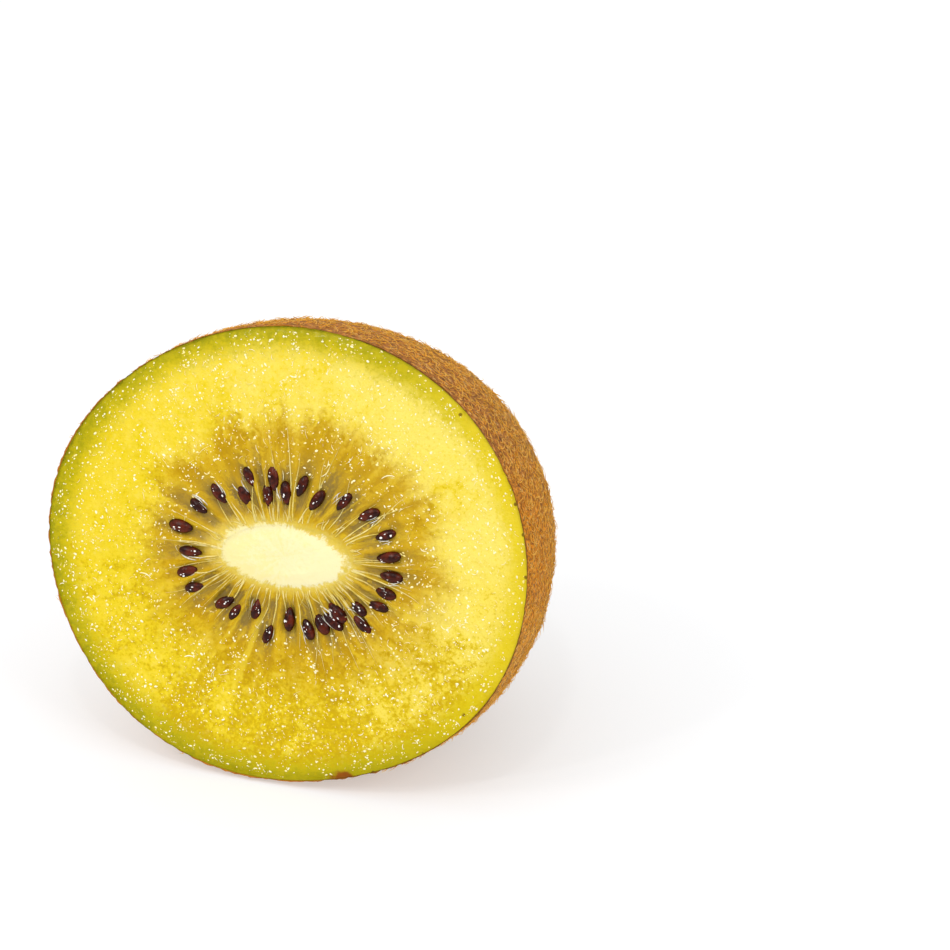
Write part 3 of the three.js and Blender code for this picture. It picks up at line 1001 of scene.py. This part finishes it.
# A Geometry Nodes tree on a host object, whose named inputs are its sizes.
class Growth(Graph):
    def __init__(self, name, inputs, material):
        tree = bpy.data.node_groups.new(name, "GeometryNodeTree")
        super().__init__(tree)
        tree.interface.new_socket("Geometry", in_out="INPUT", socket_type="NodeSocketGeometry")
        self.sizes = dict(inputs)
        for key, value in inputs.items():
            kind = "NodeSocketInt" if isinstance(value, int) else "NodeSocketFloat"
            tree.interface.new_socket(key, in_out="INPUT", socket_type=kind)
        tree.interface.new_socket("Geometry", in_out="OUTPUT", socket_type="NodeSocketGeometry")
        self.entry = tree.nodes.new("NodeGroupInput")
        self.material = material
        self.host = Value(self, self.entry.outputs["Geometry"])

    def size(self, name):
        return Value(self, self.entry.outputs[name])

    def named(self, name):
        settings = {"data_type": "FLOAT"}
        return self.node("GeometryNodeInputNamedAttribute", settings, {"Name": name})

    def chance(self, low, high, start, kind="FLOAT"):
        # a random number, or three, for each copy
        sockets, out = {
            "FLOAT": ({2: low, 3: high, 8: start}, 1),
            "FLOAT_VECTOR": ({0: low, 1: high, 8: start}, 0),
        }[kind]
        return self.node("FunctionNodeRandomValue", {"data_type": kind}, sockets, out)

    def rotation(self, angles):
        return self.node("FunctionNodeEulerToRotation", None, {0: angles})

    def turned(self, first, second):
        settings = {"rotation_space": "LOCAL"}
        return self.node("FunctionNodeRotateRotation", settings, {0: first, 1: second})

    def ball(self, segments, rings, radius):
        sockets = {"Segments": segments, "Rings": rings, "Radius": radius}
        return self.node("GeometryNodeMeshUVSphere", None, sockets)

    def arc(self, start, middle, end, steps):
        sockets = {"Start": start, "Middle": middle, "End": end, "Resolution": steps}
        return self.node("GeometryNodeCurveQuadraticBezier", None, sockets)

    def tube(self, curve, radius, sides, capped=True):
        circle = {"Resolution": sides, "Radius": 1.0}
        section = self.node("GeometryNodeCurvePrimitiveCircle", None, circle)
        sockets = {"Curve": curve, "Profile Curve": section, "Scale": radius, "Fill Caps": capped}
        return self.node("GeometryNodeCurveToMesh", None, sockets)

    def smooth(self, geometry):
        return self.node("GeometryNodeSetShadeSmooth", None, {"Geometry": geometry})

    def scattered(self, density, start):
        # random points on the host's faces, and the rotation that stands upright on each
        settings = {"distribute_method": "RANDOM"}
        sockets = {"Mesh": self.host, "Density": density, "Seed": start}
        points = self.node("GeometryNodeDistributePointsOnFaces", settings, sockets)
        return points, self.other(points, "Rotation")

    def copies(self, points, shape, rotation, x, y, z):
        sockets = {"Points": points, "Instance": shape, "Rotation": rotation}
        sockets["Scale"] = self.vector(x, y, z)
        return self.node("GeometryNodeInstanceOnPoints", None, sockets)

    def piece(self, geometry, host, name, slot):
        # ends the tree with what it has grown, and adds the result as a piece
        real = self.node("GeometryNodeRealizeInstances", None, {0: geometry})
        sockets = {"Geometry": real, "Material": self.material}
        painted = self.node("GeometryNodeSetMaterial", None, sockets)
        self.feed(self.tree.nodes.new("NodeGroupOutput").inputs["Geometry"], painted)
        return addPiece(name, self.plainMesh(host, name), self.material)

    def plainMesh(self, host, name):
        # runs the tree on a host mesh and gives back a plain mesh
        carrier = bpy.data.objects.new(name + "Host", host)
        bpy.context.scene.collection.objects.link(carrier)
        modifier = carrier.modifiers.new("growth", "NODES")
        modifier.node_group = self.tree
        for item in self.tree.interface.items_tree:
            if item.in_out == "INPUT" and item.name in self.sizes:
                modifier[item.identifier] = self.sizes[item.name]
        evaluated = carrier.evaluated_get(bpy.context.evaluated_depsgraph_get())
        mesh = bpy.data.meshes.new_from_object(evaluated)
        mesh.name = name
        carrier.modifiers.remove(modifier)
        bpy.data.objects.remove(carrier)
        return mesh


def pointMesh(name, points, attributes):
    mesh = bpy.data.meshes.new(name)
    mesh.from_pydata([tuple(p) for p in points], [], [])
    for key, values in attributes.items():
        addAttribute(mesh, key, values)
    return mesh


# The seeds, one to a chamber, in two uneven rows.
seeds = {
    "length": 2.45 * mm,
    "width": 1.22 * mm,
    "depth": 1.05 * mm,
    "taper": 0.15,
    "rise": 0.20 * mm,
    "sink": 0.40 * mm,
    "sizeSpread": 0.1,
    "ringStretch": 1.3,
    "ringRadius": 7.27 * mm,
    "sideReach": 1.84 * mm,
    "rowOffset": 0.62 * mm,
    "rowFade": 0.4,
    "scatter": 0.7 * mm,
    "lean": 24,
    "drawStart": 23,
    "emptyChamber": 18,
    "segments": 26,
    "rings": 16,
    "narrowing": 0.25,
    "tilt": (0.5, 0.18, 0.0),
    "lengthRange": (0.9, 1.12),
    "widthRange": (0.88, 1.1),
    "growthStart": 4,
}


def rowOfDraws(start):
    # the same row of numbers from 0 to 1 as the solids are placed by
    state = start
    while True:
        state = (state * 1664525 + 1013904223) % 2 ** 32
        yield state / 2 ** 32


def seedPlaces():
    draw = rowOfDraws(seeds["drawStart"])
    places = []
    for number in range(fruit["chambers"]):
        angle = crowdedAngle((number + 0.5) / fruit["chambers"] * 2 * math.pi)
        sideways = math.cos(angle) ** 2
        offset = -seeds["rowOffset"] if number % 2 else seeds["rowOffset"]
        radius = seeds["ringRadius"] + seeds["sideReach"] * sideways
        radius += offset * (1 - seeds["rowFade"] * sideways)
        radius += seeds["scatter"] * (2 * next(draw) - 1)
        lean = (next(draw) - 0.5) * math.radians(seeds["lean"])
        size = 1 + seeds["sizeSpread"] * (2 * next(draw) - 1)
        x = seeds["ringStretch"] * radius * math.cos(angle)
        y = radius * math.sin(angle)
        if number != seeds["emptyChamber"]:
            places.append((x, y, math.atan2(y, x) + lean, size))
    return np.array(places)


def makeSeeds():
    places = seedPlaces()
    level = np.full(len(places), seeds["rise"] - seeds["sink"])
    points = np.column_stack([places[:, :2], level])
    host = pointMesh("seedPoints", points, {"turn": places[:, 2], "size": places[:, 3]})
    inputs = {key: seeds[key] for key in ("length", "width", "depth", "taper")}
    tree = Growth("seedGrowth", inputs, seedFinish())
    ball = tree.ball(seeds["segments"], seeds["rings"], 0.5)
    # the ball's poles become the seed's two ends, and the end by the core is the narrow one
    x, y, lengthwise = tree.parts(tree.node("GeometryNodeInputPosition"))
    width = 1 + lengthwise * 2 * tree.size("taper") - lengthwise * lengthwise * seeds["narrowing"]
    moved = tree.vector(
        lengthwise * tree.size("length"), x * tree.size("width") * width, y * tree.size("depth") * width
    )
    shaped = tree.node("GeometryNodeSetPosition", None, {"Geometry": ball, "Position": moved})
    start = seeds["growthStart"]
    turn = tree.rotation(tree.vector(0.0, 0.0, tree.named("turn")))
    lowest = tuple(-angle for angle in seeds["tilt"])
    tilt = tree.rotation(tree.chance(lowest, seeds["tilt"], start, "FLOAT_VECTOR"))
    size = tree.named("size")
    long = size * tree.chance(*seeds["lengthRange"], start + 1)
    wide = size * tree.chance(*seeds["widthRange"], start + 2)
    placed = tree.copies(tree.host, tree.smooth(shaped), tree.turned(turn, tilt), long, wide, size)
    return tree.piece(placed, host, "darkSeeds", "seed")


# Short hairs on the skin: most lie matted, and the finer ones stand up a little.
hairs = {
    "mattedHairs": {
        "density": 1.85e6, "length": 0.95 * mm, "thickness": 0.052 * mm,
        "leastLean": 72, "mostLean": 89, "curl": 0.85, "start": 11,
    },
    "fineHairs": {
        "density": 1.85e6, "length": 0.70 * mm, "thickness": 0.040 * mm,
        "leastLean": 64, "mostLean": 88, "curl": -0.75, "start": 31,
    },
}


# A hair stands along Z, is one unit long, and bends over to its tip.
hairForm = {
    "root": (0.0, 0.0, -0.05),
    "middle": (0.0, 0.0, 0.75),
    "tip": 0.62,
    "sideways": 0.2,
    "taper": 1.08,
    "steps": 3,
    "sides": 3,
    "lengthRange": (0.55, 1.25),
}


def makeHairs(name, shape, skinMesh, material):
    inputs = {key: shape[key] for key in ("density", "length", "thickness", "curl")}
    inputs |= {key: math.radians(shape[key]) for key in ("leastLean", "mostLean")}
    tree = Growth(name + "Growth", inputs, material)
    start = shape["start"]
    points, upright = tree.scattered(tree.size("density") * tree.named("hairy"), start)
    form = hairForm
    tip = tree.vector(tree.size("curl"), tree.size("curl") * form["sideways"], form["tip"])
    curve = tree.arc(form["root"], form["middle"], tip, form["steps"])
    along = tree.node("GeometryNodeSplineParameter")
    kept = tree.node(
        "GeometryNodeStoreNamedAttribute",
        {"data_type": "FLOAT", "domain": "POINT"},
        {"Geometry": curve, "Name": "along", "Value": along},
    )
    thick = tree.size("thickness") / tree.size("length")
    strand = tree.tube(kept, thick * (form["taper"] - along), form["sides"], False)
    lean = tree.chance(tree.size("leastLean"), tree.size("mostLean"), start + 1)
    spin = tree.chance(0.0, 2 * math.pi, start + 2)
    bent = tree.rotation(tree.vector(lean, 0.0, spin))
    long = tree.size("length") * tree.chance(*form["lengthRange"], start + 3)
    placed = tree.copies(points, strand, tree.turned(upright, bent), long, long, long)
    return tree.piece(placed, skinMesh, name, "skin")


def inFruitFrame(piece):
    # a copy of a piece's mesh, back in the fruit's own frame
    mesh = piece.data.copy()
    mesh.transform(toPart.inverted())
    return mesh


# Tiny beads of juice on the cut flesh, pale all over: painted glints.
beads = {
    "density": 4.3e6,
    "smallest": 0.032 * mm,
    "largest": 0.125 * mm,
    "unequal": 2.2,  # the higher, the fewer large ones
    "patchScale": 420.0,
    "patchRange": (0.28, 0.60),
    "lengthRange": (0.8, 2.1),
    "widthRange": (0.8, 1.2),
    "height": 0.6,
    "segments": 6,
    "rings": 4,
    "start": 51,
}


def makeBeads(fleshMesh, material):
    inputs = {key: beads[key] for key in ("density", "smallest", "largest")}
    tree = Growth("beadGrowth", inputs, material)
    place = tree.node("GeometryNodeInputPosition")
    sockets = {"Vector": place, "Scale": beads["patchScale"], "Detail": 2.0}
    patches = tree.node("ShaderNodeTexNoise", None, sockets).step(*beads["patchRange"])
    start = beads["start"]
    points, upright = tree.scattered(tree.size("density") * tree.named("wet") * patches, start)
    spread = tree.size("largest") - tree.size("smallest")
    radius = tree.size("smallest") + spread * tree.chance(0.0, 1.0, start + 1) ** beads["unequal"]
    long = radius * tree.chance(*beads["lengthRange"], start + 2)
    wide = radius * tree.chance(*beads["widthRange"], start + 3)
    drop = tree.smooth(tree.ball(beads["segments"], beads["rings"], 1.0))
    placed = tree.copies(points, drop, upright, long, wide, radius * beads["height"])
    return tree.piece(placed, fleshMesh, "wetBeads", "flesh")


# Pale strands that run out from the core over the rays between the chambers.
strands = {
    "perRay": 4,
    "steps": 16,
    "from": 0.02,
    "shortest": 0.07,
    "longest": 0.52,
    "unequal": 2.2,
    "thickness": 0.09 * mm,
    "thicknessRange": (0.5, 1.25),
    "spread": 0.21,
    "bend": 0.055,
    "wave": 0.014,
    "waveAngle": 5,
    "lift": 0.03 * mm,
    "dip": 3,  # times the lift, where a strand comes out of the core
    "dipLength": 0.06,
    "thinning": 0.6,
    "sides": 5,
    "draw": 91,
}


def makeStrands():
    draw = np.random.default_rng(strands["draw"])
    points, edges, thick = [], [], []
    share = np.linspace(0, 1, strands["steps"])
    for number in range(fruit["chambers"] * strands["perRay"]):
        ray = number // strands["perRay"]
        turn = (ray + strands["spread"] * draw.normal()) / fruit["chambers"] * 2 * math.pi
        longer = (strands["longest"] - strands["shortest"]) * draw.random() ** strands["unequal"]
        reach = strands["shortest"] + longer
        across = np.linspace(strands["from"], reach, strands["steps"])
        bend, wave = draw.normal(size=2) * (strands["bend"], strands["wave"])
        sway = bend * share ** 2 + wave * np.sin(share * strands["waveAngle"])
        path = facePoints(turn + sway, across)
        dip = strands["dip"] * np.exp(-((share / strands["dipLength"]) ** 2))
        path[:, 2] += strands["lift"] * (1 - dip)
        width = strands["thickness"] * draw.uniform(*strands["thicknessRange"])
        width = width * (1.05 - share) ** strands["thinning"]
        width = width * smoothStep(-0.05, 0.12, share + 0.02)
        first = len(points)
        points += path.tolist()
        edges += [(first + k, first + k + 1) for k in range(strands["steps"] - 1)]
        thick += width.tolist()
    host = bpy.data.meshes.new("strandPaths")
    host.from_pydata(points, edges, [])
    addAttribute(host, "thick", thick)
    tree = Growth("strandGrowth", {"sides": strands["sides"]}, strandFinish())
    lines = tree.node("GeometryNodeMeshToCurve", None, {"Mesh": tree.host})
    tubes = tree.smooth(tree.tube(lines, tree.named("thick"), tree.size("sides")))
    return tree.piece(tubes, host, "paleStrands", "core")


# Small pale shapes set on points, painted glints and highlight streaks: each has a place, a turn, a
# size and a width.
def growShapes(name, shape, places, sizes, material, slot):
    columns = {"turn": places[:, 3], "size": places[:, 4], "wide": places[:, 5]}
    host = pointMesh(name + "Points", places[:, :3], columns)
    tree = Growth(name + "Growth", sizes, material)
    turn = tree.rotation(tree.vector(0.0, 0.0, tree.named("turn")))
    size = tree.named("size")
    wide = size * tree.named("wide")
    placed = tree.copies(tree.host, tree.smooth(shape(tree)), turn, size, wide, size)
    return tree.piece(placed, host, name, slot)


curlForm = {
    "steps": 6,
    "sides": 5,
    "endThickness": 0.12,
    "lift": 0.02 * mm,
    "swing": 0.9,
    "flattest": 0.25,
    "instead": 0.5,  # takes the place of a width that is too flat
}


def curlShape(tree):
    # a short tube bent in the plane of the face and thin at both ends
    middle = tree.vector(0.0, tree.size("bend"), 0.0)
    curve = tree.arc((-0.5, 0.0, 0.0), middle, (0.5, 0.0, 0.0), curlForm["steps"])
    along = tree.node("GeometryNodeSplineParameter")
    radius = tree.size("thick") * (along * (1 - along) * 4 + curlForm["endThickness"])
    return tree.tube(curve, radius, curlForm["sides"])


def dropShape(tree):
    ball = tree.ball(glints["segments"], glints["rings"], 0.5)
    sockets = {"Geometry": ball, "Scale": tree.vector(1.0, 1.0, tree.size("rise"))}
    return tree.node("GeometryNodeTransform", None, sockets)


# Short pale curls on the cut flesh, and a few long ones: painted glints.
curls = {
    "wetCurls": {
        "count": 640, "least": 0.22 * mm, "most": 0.75 * mm, "from": 0.10, "to": 0.97,
        "bend": 0.55, "thick": 0.085, "start": 101,
    },
    "longCurls": {
        "count": 46, "least": 0.7 * mm, "most": 1.7 * mm, "from": 0.16, "to": 0.55,
        "bend": -0.35, "thick": 0.045, "start": 103,
    },
}


def makeCurls(name, shape, material):
    draw = np.random.default_rng(shape["start"])
    count = shape["count"]
    turn = draw.uniform(0, 2 * math.pi, count)
    across = np.sqrt(draw.uniform(shape["from"] ** 2, shape["to"] ** 2, count))
    points = facePoints(turn, across)
    points[:, 2] += curlForm["lift"]
    size = shape["least"] + (shape["most"] - shape["least"]) * draw.random(count) ** 2
    outward = np.arctan2(points[:, 1], points[:, 0])
    lean = outward + draw.normal(size=count) * curlForm["swing"]
    wide = draw.uniform(-1.0, 1.0, count)
    wide = np.where(np.abs(wide) < curlForm["flattest"], curlForm["instead"], wide)
    places = np.column_stack([points, lean, size, wide])
    sizes = {"bend": shape["bend"], "thick": shape["thick"]}
    growShapes(name, curlShape, places, sizes, material, "flesh")


# See-through slivers of film along the seeds, in bundles, pale as painted highlight streaks, and small
# painted glints on top of the seeds.
slivers = {
    "most": 4,
    "shortest": 0.5 * mm,
    "longest": 2.1 * mm,
    "aside": 0.42 * mm,
    "spread": 0.16 * mm,
    "rise": 0.09 * mm,
    "bend": 0.16,
    "thick": 0.045,
    "slide": 0.5 * mm,
    "swing": 0.2,
    "unequal": 1.6,
    "widthRange": (0.4, 1.0),
    "start": 105,
}
glints = {
    "perSeed": 4,
    "least": 0.12 * mm,
    "most": 0.34 * mm,
    "sink": 0.01 * mm,
    "rise": 0.35,
    "alongRange": (-0.32, 0.36),
    "asideRange": (-0.25, 0.32),
    "lowest": 0.2,
    "widthRange": (0.35, 0.8),
    "segments": 10,
    "rings": 6,
    "start": 106,
}


def besideSeed(seed, along, aside):
    # a spot given in a seed's own directions
    x, y, turn, _ = seed
    cosine, sine = math.cos(turn), math.sin(turn)
    return x + along * cosine - aside * sine, y + along * sine + aside * cosine


def makeSlivers(material):
    draw = np.random.default_rng(slivers["start"])
    rows = []
    for seed in seedPlaces():
        hand = draw.choice((-1.0, 1.0))
        for number in range(draw.integers(0, slivers["most"] + 1)):
            aside = (slivers["aside"] + number * slivers["spread"]) * hand
            spot = besideSeed(seed, draw.normal() * slivers["slide"], aside)
            lean = seed[2] + draw.normal() * slivers["swing"]
            longer = (slivers["longest"] - slivers["shortest"]) * draw.random() ** slivers["unequal"]
            wide = hand * draw.uniform(*slivers["widthRange"])
            rows.append((*spot, slivers["rise"], lean, slivers["shortest"] + longer, wide))
    sizes = {"bend": slivers["bend"], "thick": slivers["thick"]}
    growShapes("seedSlivers", curlShape, np.array(rows), sizes, material, "flesh")


def makeGlints(material):
    draw = np.random.default_rng(glints["start"])
    rows = []
    for seed in seedPlaces():
        turn, size = seed[2:]
        for _ in range(glints["perSeed"]):
            along = draw.uniform(*glints["alongRange"])
            aside = draw.uniform(*glints["asideRange"])
            fall = 1 - (2 * along) ** 2 - (2 * aside) ** 2
            if fall < glints["lowest"]:
                continue
            spot = besideSeed(seed, along * seeds["length"] * size, aside * seeds["width"] * size)
            level = seeds["rise"] - seeds["sink"] + seeds["depth"] / 2 * size * math.sqrt(fall)
            across = glints["least"] + (glints["most"] - glints["least"]) * draw.random() ** 2
            wide = draw.uniform(*glints["widthRange"])
            rows.append((*spot, level - glints["sink"], turn, across, wide))
    growShapes("seedGlints", dropShape, np.array(rows), {"rise": glints["rise"]}, material, "seed")


fleshPiece = makeFlesh()
makeCore()
skinPiece = makeSkin()
makeStalkRing()
makeSeeds()
makeStrands()
paintedGlintMaterial = beadFinish()
makeBeads(inFruitFrame(fleshPiece), paintedGlintMaterial)
for curlName, curlSizes in curls.items():
    makeCurls(curlName, curlSizes, paintedGlintMaterial)
makeSlivers(filmFinish())
makeGlints(glintFinish())
for hairName, hairShape in hairs.items():
    makeHairs(hairName, hairShape, inFruitFrame(skinPiece), hairFinish(hairName + "Finish"))


# A plain pale floor and soft light.
studio = {
    "floorSize": 6.0,
    "floorColour": (0.49, 0.50, 0.51),
    "floorGlow": 0.44,
    # how bright the surroundings are from the horizon up to straight above
    "skySteps": ((0.0, 0.58), (0.25, 0.64), (0.70, 1.12), (1.0, 1.18)),
    "lights": {
        # place round the fruit, edge of the square light, power, colour
        "softbox": ((-0.45, -0.50, 0.75), 0.25, 1.35, (1.0, 0.99, 0.97)),
        "fill": ((0.60, -0.45, 0.60), 0.25, 1.20, (1.0, 0.99, 0.98)),
        "sparkle": ((-0.30, -0.62, 0.55), 0.06, 0.65, (1.0, 1.0, 1.0)),
        "secondSparkle": ((0.10, -0.45, 0.85), 0.06, 0.60, (1.0, 1.0, 1.0)),
    },
}


def makeStudio():
    half = studio["floorSize"] / 2
    corners = [(-half, -half, 0), (half, -half, 0), (half, half, 0), (-half, half, 0)]
    mesh = bpy.data.meshes.new("floor")
    mesh.from_pydata(corners, [], [(0, 1, 2, 3)])
    finish = Finish("floorFinish")
    coordinates = finish.node("ShaderNodeTexCoord", None, None, "Object")
    tone = finish.noise(coordinates, 3.0, 2)
    white = studio["floorColour"]
    mesh.materials.append(finish.done({
        "Base Color": finish.blend(tone, white, tuple(c * 0.99 for c in white)),
        "Roughness": 0.6 + tone * 0.05,
        "Specular IOR Level": 0.2,
        "Emission Color": (1, 1, 1, 1),
        "Emission Strength": studio["floorGlow"],
    }))
    floor = bpy.data.objects.new("floor", mesh)
    bpy.context.scene.collection.objects.link(floor)
    world = bpy.data.worlds.new("studio")
    world.use_nodes = True
    sky = Graph(world.node_tree)
    direction = sky.node("ShaderNodeTexCoord", None, None, "Generated")
    height = sky.parts(direction)[2]
    stops = [(level, (value, value, value)) for level, value in studio["skySteps"]]
    brightness = sky.node("ShaderNodeValToRGB", {"stops": stops}, {"Fac": height})
    sky.feed(world.node_tree.nodes["Background"].inputs["Color"], brightness)
    bpy.context.scene.world = world
    aim = Vector((0, 0, fruit["halfHeight"]))
    for name, (place, edge, power, colour) in studio["lights"].items():
        lamp = bpy.data.lights.new(name, "AREA")
        lamp.size = edge
        lamp.energy = power
        lamp.color = colour
        holder = bpy.data.objects.new(name, lamp)
        holder.location = place
        holder.rotation_euler = (aim - Vector(place)).to_track_quat("-Z", "Y").to_euler()
        bpy.context.scene.collection.objects.link(holder)
    bpy.context.scene.view_settings.view_transform = "Standard"


makeStudio()
print("studio made")
